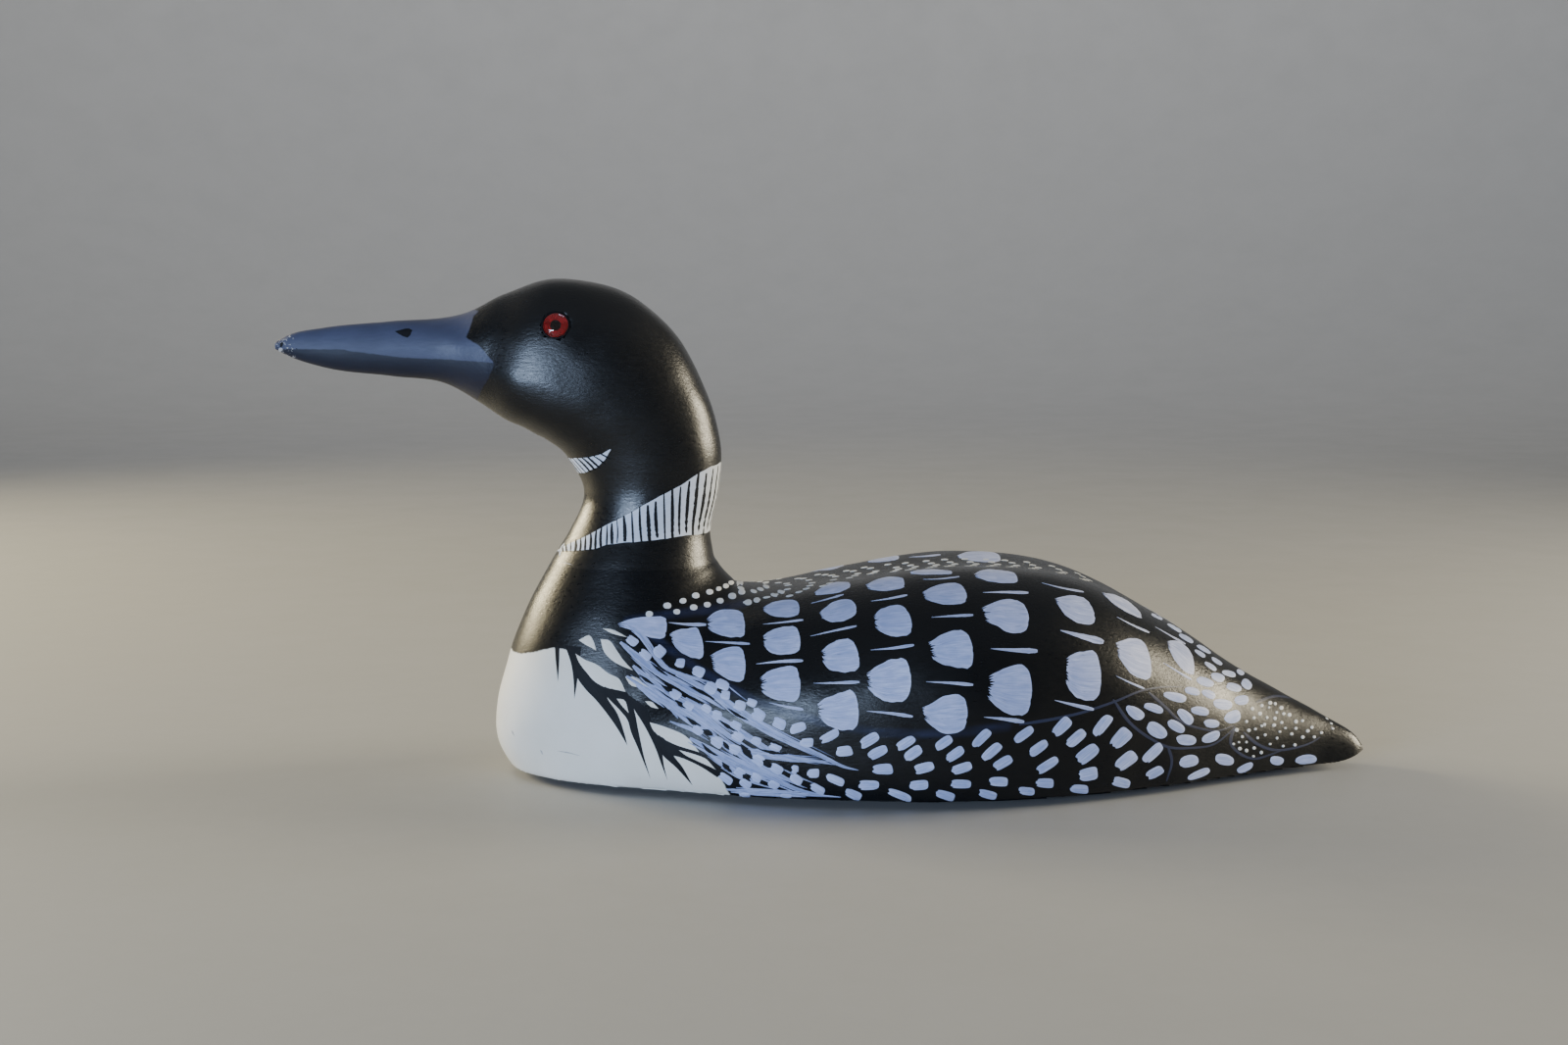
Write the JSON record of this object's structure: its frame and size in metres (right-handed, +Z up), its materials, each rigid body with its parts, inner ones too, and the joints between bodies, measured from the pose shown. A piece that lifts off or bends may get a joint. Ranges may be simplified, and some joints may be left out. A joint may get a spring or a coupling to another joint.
{
  "type": "loon decoy",
  "caption": "Carved and painted wooden loon decoy: flat-bottomed body, upright neck, long pointed bill, glass eyes and felt pads underneath.",
  "frame": {"origin": "midway between bill tip and tail tip on the plane of symmetry, at the level of the felt pads' soles", "axes": "+X towards the tail with the bill pointing to -X, +Y towards the bird's right side, +Z up"},
  "size_m": [0.3984, 0.1288, 0.1804],
  "materials": {
    "body_paint": "satin black, white and blue-white paint on carved wood, bare brown wood below",
    "head_paint": "satin black and slate-blue paint on carved wood",
    "eye_glass": "polished red glass with a black pupil",
    "felt": "pressed green felt"
  },
  "bodies": {
    "root": {"body": "body_paint", "head": "head_paint", "left_eye": "eye_glass", "right_eye": "eye_glass", "front_pad": "felt", "rear_pad_left": "felt", "rear_pad_right": "felt"}
  },
  "joints": []
}
